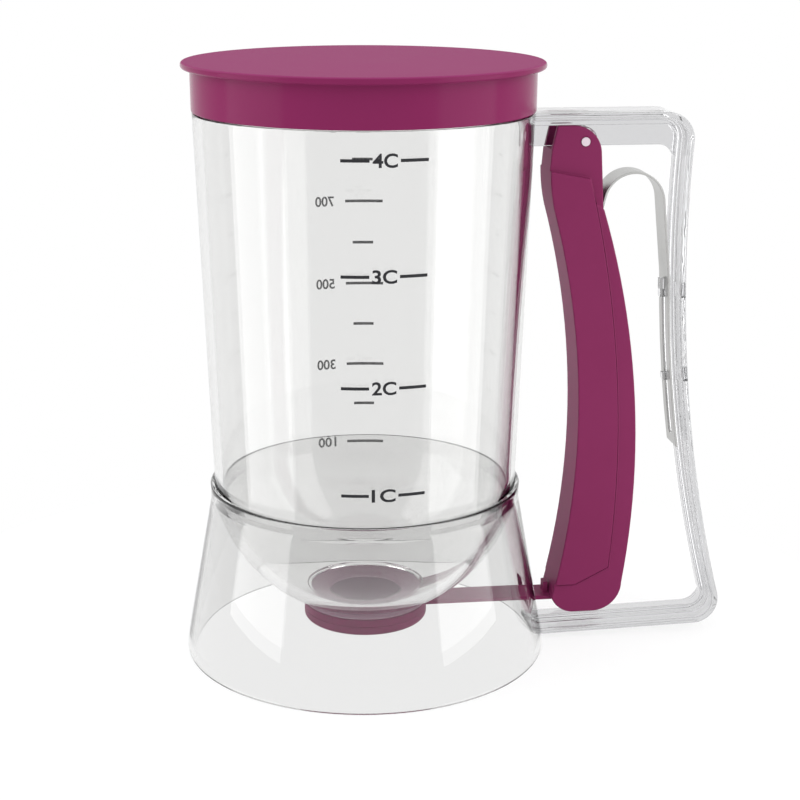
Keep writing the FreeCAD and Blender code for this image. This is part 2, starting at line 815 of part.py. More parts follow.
def make_leaf_spring():
    """A strip of spring steel: up the grip, over in a loop and down to the trigger's front wall."""
    body = new_body("leaf_spring")
    half = "(0.5 * spring_thickness)"
    back = f"({RIB_FACE} + spring_gap)"
    bend_z = f"({PIN_Z} - spring_bend_drop)"
    end_z = f"({PIN_Z} - spring_end_drop)"
    tip_z = f"({PIN_Z} - spring_tip_drop)"
    tip_x = f"({front_at('trigger_front_wall', tip_z)} + spring_gap + {half})"
    loop_x = f"({PIN_X} + spring_loop_reach)"
    loop_z = f"({PIN_Z} - spring_loop_drop)"
    bend_x = f"({grip_at(back, bend_z)} - {half})"

    def lean(x, z, side):
        """Direction of the straight that runs from a point to touch the loop on one side."""
        way_x = f"({loop_x} - {x})"
        way_z = f"({loop_z} - {z})"
        spread = f"asin(spring_loop_radius / sqrt({way_x}^2 + {way_z}^2))"
        return f"(atan2({way_z}; {way_x}) {side} {spread})"

    def beside(x, z, distance, direction):
        """The point at a distance to the left of (x, z) as one looks along a direction."""
        return f"({x} - ({distance}) * sin({direction}))", f"({z} + ({distance}) * cos({direction}))"

    free_leg = lean(tip_x, tip_z, "+")
    fixed_leg = lean(bend_x, bend_z, "-")
    outer_radius = f"(spring_loop_radius + {half})"
    inner_radius = f"(spring_loop_radius - {half})"
    front = f"({back} + spring_thickness)"
    sketch = new_sketch(body, "XZ_Plane", "spring_outline")
    outline(
        sketch,
        [
            beside(tip_x, tip_z, half, free_leg),
            beside(loop_x, loop_z, outer_radius, free_leg),
            beside(loop_x, loop_z, f"-{outer_radius}", fixed_leg),
            (grip_at(back, bend_z), bend_z),
            (grip_at(back, end_z), end_z),
            (grip_at(front, end_z), end_z),
            (grip_at(front, bend_z), bend_z),
            beside(loop_x, loop_z, f"-{inner_radius}", fixed_leg),
            beside(loop_x, loop_z, inner_radius, free_leg),
            beside(tip_x, tip_z, f"-{half}", free_leg),
        ],
        {
            1: (outer_radius, -1),
            3: (f"(grip_radius + {back})", 1),
            5: (f"(grip_radius + {front})", -1),
            7: (inner_radius, 1),
        },
    )
    across(body, sketch, "spring_half_width")
    slot = new_sketch(body, "YZ_Plane", "spring_slot", loop_x)
    slot_foot = f"({end_z} + spring_slot_end)"
    slot_top = f"({PIN_Z} - upper_hook_drop + hook_gap)"
    radius = "(0.5 * spring_slot_half_width)"
    rounded_box(slot, "-spring_slot_half_width", "spring_slot_half_width", slot_foot, slot_top, radius)
    outward(body, slot, "2 * grip_reach")


def make_film(label, lift):
    """A shell as thick as the ink round the jug's wall, lifted off it."""
    cones = []
    for grow in (f"{lift} + ink_thickness", lift):
        cone = document.addObject("Part::Cone", f"{label}_cone")
        cone.setExpression("Radius1", bound(f"{FOOT_RADIUS} + {grow}"))
        cone.setExpression("Radius2", bound(f"shoulder_radius + {grow}"))
        cone.setExpression("Height", bound(f"{SHOULDER} - junction_height"))
        cone.setExpression("Placement.Base.z", bound("junction_height"))
        cones.append(cone)
    film = document.addObject("Part::Cut", f"{label}_film")
    film.Base, film.Tool = cones
    return film


def make_stencil(label, marks):
    """Boxes across the jug's wall, one for each mark."""
    boxes = []
    for start, end, near, far, middle in marks:
        box = document.addObject("Part::Box", f"{label}_mark")
        box.setExpression("Length", bound(f"{end} - ({start})"))
        box.setExpression("Width", bound(f"{far} - ({near})"))
        box.setExpression("Height", bound("ink_line"))
        box.setExpression("Placement.Base.x", bound(start))
        box.setExpression("Placement.Base.y", bound(near))
        box.setExpression("Placement.Base.z", bound(f"{middle} - 0.5 * ink_line"))
        boxes.append(box)
    stencil = document.addObject("Part::Compound", f"{label}_stencil")
    stencil.Links = boxes
    return stencil


def make_ink(label, groups):
    """Films of ink in the shape of the marks. Each group has its own lift off the jug's wall."""
    layers = []
    for lift, marks in groups:
        layer = document.addObject("Part::MultiCommon", f"{label}_layer")
        layer.Shapes = [make_film(label, lift), make_stencil(label, marks)]
        layers.append(layer)
    ink = document.addObject("Part::Compound", label)
    ink.Label = label
    ink.Links = layers
    PARTS[label] = ink


def make_scales():
    """Marks for cups on one side of the jug, and for hundreds of millilitres on the other.

    The first of the hundreds is printed on the collar."""
    cup_marks = []
    for n in range(CUP_MARKS):
        middle = f"junction_height + cup_mark_rise + {n} * cup_mark_pitch"
        for start, end in (("-cup_mark_outer", "-cup_mark_inner"), ("cup_mark_inner", "cup_mark_outer")):
            cup_marks.append((start, end, "-shoulder_radius - base_flare", "0", middle))
    make_ink("cup_scale", [("0", cup_marks)])
    hundred_marks = []
    for n in range(HUNDRED_MARKS):
        middle = f"junction_height + hundred_mark_rise + {n} * hundred_mark_pitch"
        reach = "long" if n % 2 == 0 else "short"
        ends = (f"{reach}_mark_start", f"{reach}_mark_end")
        hundred_marks.append((*ends, "0", "shoulder_radius + base_flare", middle))
    make_ink("millilitre_scale", [("collar_wall", hundred_marks[:1]), ("0", hundred_marks[1:])])


make_lid()
make_container()
make_base_skirt()
make_handle_frame()
make_trigger()
make_pivot_pin()
make_valve_arm()
make_valve_cup()
make_valve_seal()
make_leaf_spring()
make_scales()
document.recompute()

for made in document.Objects:
    if "Invalid" in made.State or "Error" in made.State:
        raise ValueError(f"{made.Name} failed: {made.State}")

os.makedirs("parts", exist_ok=True)
for label, made in PARTS.items():
    shape = made.Shape
    if shape.isNull() or not shape.isValid() or not shape.Solids:
        raise ValueError(f"{label} has no valid solid")
    shape.exportStep(f"parts/{label}.step")
    box = shape.BoundBox
    reach = f"x {box.XMin:.2f} {box.XMax:.2f}, y {box.YMin:.2f} {box.YMax:.2f}, z {box.ZMin:.2f} {box.ZMax:.2f}"
    print(f"{label}: {len(shape.Solids)} solids, {shape.Volume:.1f} mm3, {reach}")
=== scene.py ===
import math

import bmesh
import bpy
import numpy as np
from mathutils import Matrix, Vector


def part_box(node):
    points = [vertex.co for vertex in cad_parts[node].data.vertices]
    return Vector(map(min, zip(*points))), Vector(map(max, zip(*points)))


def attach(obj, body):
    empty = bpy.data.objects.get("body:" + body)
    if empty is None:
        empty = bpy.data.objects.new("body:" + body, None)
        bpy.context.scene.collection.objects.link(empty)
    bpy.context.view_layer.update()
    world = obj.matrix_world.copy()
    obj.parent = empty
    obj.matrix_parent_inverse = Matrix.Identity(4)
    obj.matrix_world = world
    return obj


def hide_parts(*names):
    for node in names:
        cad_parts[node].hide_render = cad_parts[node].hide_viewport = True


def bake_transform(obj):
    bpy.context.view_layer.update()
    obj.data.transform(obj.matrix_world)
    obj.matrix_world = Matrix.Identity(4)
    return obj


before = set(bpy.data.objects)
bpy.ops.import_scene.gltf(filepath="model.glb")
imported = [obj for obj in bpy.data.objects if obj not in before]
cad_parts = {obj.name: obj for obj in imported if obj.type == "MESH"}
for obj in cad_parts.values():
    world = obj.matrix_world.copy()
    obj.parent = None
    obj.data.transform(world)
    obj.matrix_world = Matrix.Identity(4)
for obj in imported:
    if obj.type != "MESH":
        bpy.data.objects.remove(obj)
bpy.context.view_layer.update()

MM = 0.001

# Sizes read from the frame
BASE_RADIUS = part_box("base_skirt")[1].x
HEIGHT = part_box("lid")[1].z
LID_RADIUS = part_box("lid")[1].x
LID_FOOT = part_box("lid")[0].z
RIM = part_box("container")[1].z
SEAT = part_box("container")[0].z
SHOULDER_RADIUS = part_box("container")[1].x
COLLAR_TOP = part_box("base_skirt")[1].z
HANDLE_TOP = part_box("handle_frame")[1].z
BAND_HALF_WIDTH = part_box("handle_frame")[1].y
PIN_X = (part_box("pivot_pin")[0].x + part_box("pivot_pin")[1].x) / 2
PIN_Z = (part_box("pivot_pin")[0].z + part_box("pivot_pin")[1].z) / 2
PIN_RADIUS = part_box("pivot_pin")[1].z - PIN_Z
CUP_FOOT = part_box("valve_cup")[0].z
SEAL_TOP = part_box("valve_seal")[1].z

# Sizes of the clear plastic
SHOULDER = LID_FOOT - 0.3 * MM
NECK_RADIUS = SHOULDER_RADIUS - 1.2 * MM
NECK_WALL = 1.2 * MM
FOOT_RADIUS = 47.0 * MM
JUNCTION = 50.0 * MM
BOWL_RADIUS = 48.0 * MM
BOWL_WALL = 3.2 * MM
BOWL_CENTRE = JUNCTION + math.sqrt(BOWL_RADIUS**2 - FOOT_RADIUS**2)
SEAT_RADIUS = 20.2 * MM
OUTLET_RADIUS = 12.0 * MM
SKIRT_WALL = 2.0 * MM
COLLAR_WALL = 1.4 * MM
FOOT_LAND = 2.5 * MM
WELD = 0.03 * MM
SLOT_START = 40.0 * MM
SLOT_END = 70.0 * MM
SLOT_HALF_WIDTH = 6.5 * MM
SLOT_FOOT = 9.5 * MM
SLOT_TOP = 17.8 * MM
SLOT_CORNER = 1.6 * MM

# Sizes of the handle loop
GRIP_RADIUS = 460.0 * MM
GRIP_X = PIN_X + 32.6 * MM
GRIP_Z = HANDLE_TOP - 37.3 * MM
TOP_CORNER = 8.5 * MM
FOOT_CORNER = 8.0 * MM
LOOP_FOOT = 2.8 * MM
LOOP_FOOT_ROOT = 1.4 * MM
BAND = 2.0 * MM
RIB_DEPTH = 4.3 * MM
RIB_HALF_WIDTH = 2.4 * MM
WEB_HALF_WIDTH = 1.2 * MM
WEB_FOOT = HANDLE_TOP - 10.6 * MM
WEB_CORNER = 5.0 * MM
WEB_SUNK = 3.0 * MM
BOSS_RADIUS = 4.2 * MM
BOSS_HALF_WIDTH = 3.9 * MM
BORE_PLAY = 0.06 * MM
UPPER_HOOK = PIN_Z - 49.7 * MM
LOWER_HOOK = PIN_Z - 76.8 * MM
HOOK_HEIGHT = 2.4 * MM
HOOK_REACH = 6.5 * MM
HOOK_HALF_WIDTH = 1.4 * MM
HOOK_ROOT = 3.0 * MM
HOOK_LIP = 1.3 * MM
HOOK_NOSE = 5.8 * MM
POCKET = 1.1 * MM
POCKET_HEIGHT = 4.8 * MM
POCKET_HALF_WIDTH = 1.0 * MM
POCKET_PROUD = 1.0 * MM

# Sizes of the cap
CAP_PLAY = 0.3 * MM
CAP_WALL = 1.2 * MM
CAP_PLATE = 2.0 * MM

# Printing on the jug
INK_LIFT = 0.08 * MM
INK_FILM = 0.06 * MM
CUP_MARK = 64.8 * MM
CUP_PITCH = 32.5 * MM
CUP_HALF_WIDTH = 3.5 * MM
CUP_HALF_HEIGHT = 2.0 * MM
HUNDRED_MARK = 52.6 * MM
HUNDRED_PITCH = 13.73 * MM
HUNDRED_ASIDE = 8.1 * MM
HUNDRED_HALF_WIDTH = 3.3 * MM
HUNDRED_HALF_HEIGHT = 1.7 * MM

# Colours of the plastics
MAGENTA = (0.162, 0.013, 0.066)
# The paler magenta gives the clouds of tone, and on the cap's top it is painted light falling from above.
CLOUD_AND_LIT_TOP_MAGENTA = (0.28, 0.038, 0.142)
CLEAR_SHADE = (0.93, 0.93, 0.94, 1)

# The photo's point of view, in metres and radians
LENS = 79.9
SENSOR = 36.0
VIEW_POINT = (-0.06036, -0.52997, 0.23188)
VIEW_YAW = 0.134
VIEW_PITCH = 0.277
VIEW_ROLL = 0.0028

# The studio, in metres and watts
TABLE_RADIUS = 0.17
TABLE_DROP = 0.1 * MM
TABLE_SIDES = 128
TABLE_WHITE = 0.76
LAMP_DISTANCE = 0.5
LAMP_HEIGHT = 0.28
LAMP_WIDTH = 0.4
LAMP_LENGTH = 1.1
LAMP_POWER = 2.6

# Steps round a turned piece
AROUND = 256


# Shapes in the plane


def arc(centre, radius, start, end, count):
    """Points of a circular arc: centre + radius * (cos a, sin a), with a in degrees."""
    angle = np.radians(np.linspace(start, end, count))
    return np.stack([centre[0] + radius * np.cos(angle), centre[1] + radius * np.sin(angle)], 1)


def rounded(corners, closed=True, steps=7):
    """A line through corners (x, y, radius), with each corner cut by an arc that touches both sides.

    The arc starts radius * tan(turn / 2) before the corner, and its points are a spherical blend
    of the two directions from its centre."""
    line = []
    count = len(corners)
    for i, (x, y, radius) in enumerate(corners):
        here = np.array([x, y])
        if radius == 0 or (not closed and i in (0, count - 1)):
            line.append(here[None])
            continue
        before = np.array(corners[i - 1][:2]) - here
        after = np.array(corners[(i + 1) % count][:2]) - here
        before /= np.linalg.norm(before)
        after /= np.linalg.norm(after)
        half = np.arccos(np.clip(before @ after, -1, 1)) / 2
        reach = radius / np.tan(half)
        centre = here + (before + after) / np.linalg.norm(before + after) * radius / np.sin(half)
        first = here + before * reach - centre
        last = here + after * reach - centre
        turn = math.pi - 2 * half
        part = np.linspace(0, 1, steps)[:, None]
        bent = np.sin((1 - part) * turn) * first + np.sin(part * turn) * last
        line.append(centre + bent / np.sin(turn))
    return np.concatenate(line)


def spaced(line, step):
    """The same open line, with points at most a step apart along it."""
    lengths = np.linalg.norm(np.diff(line, axis=0), axis=1)
    counts = np.maximum(1, np.ceil(lengths / step)).astype(int)
    runs = [np.linspace(a, b, n, endpoint=False) for a, b, n in zip(line[:-1], line[1:], counts)]
    return np.concatenate([*runs, line[-1:]])


def sideways(line, closed):
    """Unit normals of a plane line, to the left of its way, at each point."""
    if closed:
        way = np.roll(line, -1, 0) - np.roll(line, 1, 0)
    else:
        way = np.gradient(line, axis=0)
    way /= np.linalg.norm(way, axis=1)[:, None]
    return np.stack([-way[:, 1], way[:, 0]], 1)


# Meshes


def grid_faces(rows, columns, wrap_rows, wrap_columns):
    """Quads of a grid of rows by columns that may close on itself in either way."""
    r = np.arange(rows if wrap_rows else rows - 1)[:, None]
    c = np.arange(columns if wrap_columns else columns - 1)[None, :]
    r2, c2 = (r + 1) % rows, (c + 1) % columns
    quads = np.stack([r * columns + c, r2 * columns + c, r2 * columns + c2, r * columns + c2], -1)
    return quads.reshape(-1, 4).tolist()


def tidy(mesh, angle=30):
    """Merges doubles, turns the faces outwards and shades smooth up to an angle."""
    work = bmesh.new()
    work.from_mesh(mesh)
    bmesh.ops.remove_doubles(work, verts=work.verts, dist=1e-7)
    bmesh.ops.dissolve_degenerate(work, edges=work.edges, dist=1e-8)
    bmesh.ops.recalc_face_normals(work, faces=work.faces)
    work.to_mesh(mesh)
    work.free()
    mesh.shade_smooth()
    mesh.set_sharp_from_angle(angle=math.radians(angle))


def solid(name, points, faces, angle=30):
    """An object of the given points and faces."""
    mesh = bpy.data.meshes.new(name)
    mesh.from_pydata(np.asarray(points).reshape(-1, 3).tolist(), [], faces)
    tidy(mesh, angle)
    made = bpy.data.objects.new(name, mesh)
    bpy.context.scene.collection.objects.link(made)
    return made


def lathe(name, profile, on_axis=False, step=2 * MM, crease=30):
    """A profile (r, z) turned round the Z axis: (r cos a, r sin a, z).

    The profile is a closed line, or one that runs from axis to axis."""
    if not on_axis:
        profile = np.concatenate([profile, profile[:1]])
    profile = spaced(profile, step)
    if not on_axis:
        profile = profile[:-1]
    angle = np.linspace(0, 2 * np.pi, AROUND, endpoint=False)[:, None]
    r, z = profile[:, 0][None], profile[:, 1][None]
    points = np.stack([r * np.cos(angle), r * np.sin(angle), z + 0 * angle], -1)
    return solid(name, points, grid_faces(AROUND, len(profile), True, not on_axis), crease)


def plate(name, outline, half_width, edge, steps=5):
    """A closed outline (x, z) given a width along Y, its rims rounded by a quarter circle.

    A rim's row at angle a lies edge * (1 - cos a) inside the outline, and its place across is
    half_width - edge * (1 - sin a)."""
    angle = np.linspace(0, np.pi / 2, steps)
    inset = edge * (1 - np.cos(angle))
    across = half_width - edge * (1 - np.sin(angle))
    inset = np.concatenate([inset[::-1], inset])
    across = np.concatenate([-across[::-1], across])
    after = np.roll(outline, -1, 0)
    area = np.sum(outline[:, 0] * after[:, 1] - after[:, 0] * outline[:, 1])
    inward = sideways(outline, True) * np.sign(area)
    flat = outline[None] + inset[:, None, None] * inward[None]
    points = np.stack([flat[..., 0], across[:, None] + 0 * flat[..., 0], flat[..., 1]], -1)
    rows, columns = points.shape[:2]
    faces = grid_faces(rows, columns, False, True)
    faces += [list(range(columns)), list(range((rows - 1) * columns, rows * columns))]
    return solid(name, points, faces)


def sweep(name, path, section, ends):
    """A closed section (depth, across) carried along a path (x, z): path + depth * left + across * Y.

    The points of its first and last rows are moved to the X that ends gives for them."""
    left = sideways(path, False)
    flat = path[:, None] + section[None, :, :1] * left[:, None]
    points = np.stack([flat[..., 0], section[None, :, 1] + 0 * flat[..., 0], flat[..., 1]], -1)
    points[[0, -1], :, 0] = ends(points[[0, -1]])
    rows, columns = points.shape[:2]
    faces = grid_faces(rows, columns, False, True)
    faces += [list(range(columns)), list(range((rows - 1) * columns, rows * columns))]
    return solid(name, points, faces)


def rod(name, x, z, radius, half_width, edge):
    """A round bar along Y."""
    return plate(name, arc((x, z), radius, 0, 360, 65)[:-1], half_width, edge)


def block(name, low, high, corner):
    """A box along X between two corners, its edges along X rounded."""
    (x0, y0, z0), (x1, y1, z1) = low, high
    outline = rounded([(y0, z0, corner), (y1, z0, corner), (y1, z1, corner), (y0, z1, corner)])
    ends = np.array([x0, x1])[:, None]
    across, up = outline[:, 0][None], outline[:, 1][None]
    points = np.stack([ends + 0 * across, across + 0 * ends, up + 0 * ends], -1)
    count = len(outline)
    faces = grid_faces(2, count, False, True) + [list(range(count)), list(range(count, 2 * count))]
    return solid(name, points, faces)


def combine(piece, tools, operation):
    """Joins the tools to a piece or cuts them from it, exactly, and takes them out of the scene."""
    for tool in tools:
        step = piece.modifiers.new(operation.lower(), "BOOLEAN")
        step.operation = operation
        step.solver = "EXACT"
        step.object = tool
    bpy.context.view_layer.update()
    shape = bpy.data.meshes.new_from_object(piece.evaluated_get(bpy.context.evaluated_depsgraph_get()))
    shape.name = piece.data.name
    piece.modifiers.clear()
    piece.data = shape
    for tool in tools:
        bpy.data.objects.remove(tool)
    tidy(shape)
    return piece


# Shader maths and nodes


class Socket:
    """A shader value. Arithmetic on it adds Math nodes."""

    def __init__(self, finish, link):
        self.finish = finish
        self.link = link

    def maths(self, operation, other):
        return self.finish.node("ShaderNodeMath", {"operation": operation}, {0: self, 1: other})

    def __add__(self, other):
        return self.maths("ADD", other)

    def __mul__(self, other):
        return self.maths("MULTIPLY", other)

    __radd__ = __add__
    __rmul__ = __mul__


class Finish:
    """A node material, built with one method for every node."""

    def __init__(self, name):
        self.data = bpy.data.materials.new(name)
        self.data.use_nodes = True
        self.tree = self.data.node_tree
        self.tree.nodes.clear()
        self.end = self.tree.nodes.new("ShaderNodeOutputMaterial")

    def node(self, kind, settings=None, values=None, output=0):
        """Adds a node, gives it its settings, then the values or links of its sockets."""
        made = self.tree.nodes.new(kind)
        for key, value in (settings or {}).items():
            setattr(made, key, value)
        for key, value in (values or {}).items():
            if isinstance(value, Socket):
                self.tree.links.new(value.link, made.inputs[key])
            else:
                made.inputs[key].default_value = value
        return Socket(self, made.outputs[output])

    def place(self, stretch):
        """Object coordinates, stretched along each axis."""
        spot = self.node("ShaderNodeTexCoord", output="Object")
        return self.node("ShaderNodeMapping", None, {"Vector": spot, "Scale": stretch})

    def noise(self, scale, detail, stretch=(1, 1, 1)):
        """Cloudy noise from 0 to 1."""
        values = {"Vector": self.place(stretch), "Scale": scale, "Detail": detail}
        return self.node("ShaderNodeTexNoise", None, values, "Fac")

    def over(self, axis, start, end):
        """0 below start and 1 above end, along an axis of the object or away from its Z axis."""
        spot = self.place((1, 1, 0) if axis == "radius" else (1, 1, 1))
        if axis == "radius":
            value = self.node("ShaderNodeVectorMath", {"operation": "LENGTH"}, {0: spot}, "Value")
        else:
            value = self.node("ShaderNodeSeparateXYZ", None, {0: spot}, axis)
        values = {"Value": value, "From Min": start, "From Max": end}
        return self.node("ShaderNodeMapRange", None, values)

    def bump(self, height, distance):
        """Normals of a surface that a height from 0 to 1 raises by up to a distance in metres."""
        values = {"Height": height, "Distance": distance, "Strength": 1.0}
        return self.node("ShaderNodeBump", None, values)

    def mixed(self, amount, first, second):
        """A colour between two, which are the node's sockets 6 and 7."""
        values = {"Factor": amount, 6: (*first, 1), 7: (*second, 1)}
        return self.node("ShaderNodeMix", {"data_type": "RGBA"}, values, 2)

    def surface(self, values):
        """A principled shader with these sockets."""
        return self.node("ShaderNodeBsdfPrincipled", None, values)

    def show(self, shader):
        """Makes a shader the surface of the material, and gives the material."""
        self.tree.links.new(shader.link, self.end.inputs["Surface"])
        return self.data


# Finishes


def clear_plastic(name, wave, ripple, tint):
    """Clear polished plastic with a slow waviness. The lamps' light passes straight through it."""
    finish = Finish(name)
    slow = finish.noise(wave, 2.0)
    fine = finish.noise(900.0, 3.0)
    glass = finish.surface(
        {
            "Base Color": (*tint, 1),
            "Roughness": 0.012 * fine,
            "IOR": 1.49,
            "Transmission Weight": 1.0,
            "Normal": finish.bump(slow, ripple),
        }
    )
    ray = finish.node("ShaderNodeLightPath", output="Is Shadow Ray")
    through = finish.node("ShaderNodeBsdfTransparent", None, {"Color": CLEAR_SHADE})
    return finish.show(finish.node("ShaderNodeMixShader", None, {0: ray, 1: glass, 2: through}))


def magenta_plastic(name, roughness, grain, specular, satin=0.0):
    """Opaque moulded plastic with slow clouds of tone, a fine grain and, on the cap, a satin top painted
    paler as painted light falling from above.
    """
    finish = Finish(name)
    top = finish.over("Z", HEIGHT - 0.5 * MM, HEIGHT - 0.1 * MM)
    cloud = finish.noise(35.0, 3.0)
    fine = finish.noise(2600.0, 2.0)
    # Mixed towards the paler colour in the clouds, and mostly so on the cap's top as a painted highlight.
    shade = finish.mixed(0.12 * cloud + 0.65 * top, MAGENTA, CLOUD_AND_LIT_TOP_MAGENTA)
    shader = finish.surface(
        {
            "Base Color": shade,
            "Roughness": roughness + 0.06 * cloud + satin * top,
            "IOR": 1.5,
            "Specular IOR Level": specular,
            "Normal": finish.bump(fine, grain),
        }
    )
    return finish.show(shader)


def seal_silicone():
    """Soft milky silicone, lighter in clouds of tone, and painted paler beyond the outlet's edge where the
    jug's clear seat lies over it: a painted reflection.
    """
    finish = Finish("seal_silicone")
    # Painted reflection: the seal turns paler beyond the outlet's edge, where it is seen through the clear
    # seat.
    ring = finish.over("radius", OUTLET_RADIUS - 0.3 * MM, OUTLET_RADIUS)
    cloud = finish.noise(90.0, 2.0)
    fine = finish.noise(1800.0, 2.0)
    shader = finish.surface(
        {
            "Base Color": finish.mixed(ring + 0.2 * cloud, (0.1, 0.03, 0.065), (0.33, 0.15, 0.23)),
            "Roughness": 0.5 + 0.15 * fine,
            "Subsurface Weight": 0.15,
            "Subsurface Radius": (0.003, 0.002, 0.002),
            "Normal": finish.bump(fine, 0.00002),
        }
    )
    return finish.show(shader)


def strip_steel(name, scale, stretch, low, high, metallic):
    """Rolled steel, with fine lines along the rolling direction."""
    finish = Finish(name)
    lines = finish.noise(scale, 4.0, stretch)
    cloud = finish.noise(60.0, 2.0)
    shader = finish.surface(
        {
            "Base Color": finish.mixed(cloud, low, high),
            "Metallic": metallic,
            "Roughness": 0.22 + 0.16 * lines,
            "Normal": finish.bump(lines, 0.00001),
        }
    )
    return finish.show(shader)


def scale_ink():
    """Printed ink: nearly black, with a slightly uneven gloss."""
    finish = Finish("scale_ink")
    speck = finish.noise(1500.0, 2.0)
    shader = finish.surface(
        {
            "Base Color": finish.mixed(speck, (0.012, 0.012, 0.014), (0.03, 0.03, 0.034)),
            "Roughness": 0.4 + 0.2 * speck,
            "Specular IOR Level": 0.15,
        }
    )
    return finish.show(shader)


def pale_floor():
    """A white table top that the camera, gloss and glass see as white, with its shadows kept."""
    finish = Finish("pale_floor")
    cloud = finish.noise(3.0, 2.0)
    matt = finish.surface(
        {"Base Color": finish.mixed(cloud, (0.95, 0.95, 0.95), (0.96, 0.96, 0.96)), "Roughness": 0.9}
    )
    light = finish.node("ShaderNodeEmission", None, {"Color": (1, 1, 1, 1), "Strength": 1.0})
    kinds = ("Camera", "Glossy", "Transmission")
    rays = [finish.node("ShaderNodeLightPath", output=f"Is {kind} Ray") for kind in kinds]
    shown = TABLE_WHITE * (rays[0] + rays[1] + rays[2])
    return finish.show(finish.node("ShaderNodeMixShader", None, {0: shown, 1: matt, 2: light}))


def dress(piece, body, material):
    """Gives a piece its material and its body."""
    piece.data.materials.clear()
    piece.data.materials.append(material)
    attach(piece, body)
    return piece


# The clear plastic


def wall_radius(z):
    """Outer radius of the jug's tapered wall at a height."""
    return FOOT_RADIUS + (SHOULDER_RADIUS - FOOT_RADIUS) * (z - JUNCTION) / (SHOULDER - JUNCTION)


def bowl_arc(radius, near, far, count):
    """The bowl's sphere between two distances from the axis: (radius sin a, centre - radius cos a)."""
    start = math.degrees(math.asin(near / radius))
    end = math.degrees(math.asin(min(1.0, far / radius)))
    angle = np.radians(np.linspace(start, end, count))
    return np.stack([radius * np.sin(angle), BOWL_CENTRE - radius * np.cos(angle)], 1)


def make_jug(clear):
    """The jug: wall, neck, bowl and outlet as one closed profile."""
    inside = BOWL_RADIUS - BOWL_WALL
    outer_bowl = bowl_arc(BOWL_RADIUS, SEAT_RADIUS, FOOT_RADIUS, 40)
    inner_bowl = bowl_arc(inside, OUTLET_RADIUS, inside, 48)[::-1]
    seat_corners = [
        (OUTLET_RADIUS, SEAT + 1.5 * MM, 0),
        (OUTLET_RADIUS, SEAT, 0.5 * MM),
        (SEAT_RADIUS, SEAT, 0.4 * MM),
        (SEAT_RADIUS, SEAT + 1.0 * MM, 0),
    ]
    below = SHOULDER - 15 * MM
    neck_corners = [
        (wall_radius(below), below, 0),
        (SHOULDER_RADIUS, SHOULDER, 0.35 * MM),
        (NECK_RADIUS, SHOULDER, 0.3 * MM),
        (NECK_RADIUS, RIM, 0.4 * MM),
        (NECK_RADIUS - NECK_WALL, RIM, 0.4 * MM),
        (inside, BOWL_CENTRE, 0),
    ]
    seat = rounded(seat_corners, closed=False)
    neck = rounded(neck_corners, closed=False)
    profile = np.concatenate([seat, outer_bowl, neck[:-1], inner_bowl])
    piece = lathe("jug", profile, crease=8)
    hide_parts("container")
    return dress(piece, "stand", clear)


def make_skirt(clear):
    """The flared stand with its collar, and the slot that the arm passes through."""
    corners = [
        (wall_radius(COLLAR_TOP) + WELD, COLLAR_TOP, 0.2 * MM),
        (FOOT_RADIUS + WELD, JUNCTION, 0),
        (BASE_RADIUS - SKIRT_WALL, FOOT_LAND, 0),
        (BASE_RADIUS - SKIRT_WALL, 0, 0.6 * MM),
        (BASE_RADIUS, 0, 0.7 * MM),
        (BASE_RADIUS, FOOT_LAND, 0),
        (FOOT_RADIUS + COLLAR_WALL, JUNCTION, 14 * MM),
        (wall_radius(COLLAR_TOP) + COLLAR_WALL, COLLAR_TOP, 0.5 * MM),
    ]
    piece = lathe("skirt", rounded(corners))
    low = (SLOT_START, -SLOT_HALF_WIDTH, SLOT_FOOT)
    high = (SLOT_END, SLOT_HALF_WIDTH, SLOT_TOP)
    slot = block("slot", low, high, SLOT_CORNER)
    combine(piece, [slot], "DIFFERENCE")
    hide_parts("base_skirt")
    return dress(piece, "stand", clear)


def jug_outside(z):
    """Radius of the outermost clear plastic at a height: skirt, collar or wall."""
    growth = FOOT_RADIUS + COLLAR_WALL - BASE_RADIUS
    flare = BASE_RADIUS + growth * (z - FOOT_LAND) / (JUNCTION - FOOT_LAND)
    return np.where(z < FOOT_LAND, BASE_RADIUS, np.where(z < JUNCTION, flare, wall_radius(z)))


def on_jug(points):
    """X at which points reach the jug's outside, a weld's width away."""
    return np.sqrt((jug_outside(points[..., 2]) + WELD) ** 2 - points[..., 1] ** 2)


# The handle


def loop_path():
    """The outer face of the handle: foot bar, rounded corner, bowed grip, rounded corner, top bar."""
    bow = GRIP_X + GRIP_RADIUS
    foot_z = LOOP_FOOT + FOOT_CORNER
    foot_x = bow - math.sqrt((GRIP_RADIUS + FOOT_CORNER) ** 2 - (foot_z - GRIP_Z) ** 2)
    top_z = HANDLE_TOP - TOP_CORNER
    top_x = bow - math.sqrt((GRIP_RADIUS + TOP_CORNER) ** 2 - (top_z - GRIP_Z) ** 2)
    foot_turn = math.degrees(math.atan2(GRIP_Z - foot_z, bow - foot_x))
    top_turn = math.degrees(math.atan2(GRIP_Z - top_z, bow - top_x))
    grip = arc((bow, GRIP_Z), GRIP_RADIUS, 180 + foot_turn, 180 + top_turn, 90)
    foot = arc((foot_x, foot_z), FOOT_CORNER, -90, foot_turn, 16)
    top = arc((top_x, top_z), TOP_CORNER, top_turn, 90, 16)
    root = np.array([[FOOT_RADIUS, LOOP_FOOT_ROOT]])
    crown = np.array([[FOOT_RADIUS, HANDLE_TOP]])
    line = np.concatenate([root, foot, grip[1:-1], top, crown])
    runs = [spaced(line[:2], 2 * MM)[:-1], line[1:-2], spaced(line[-2:], 2 * MM)]
    return np.concatenate(runs)


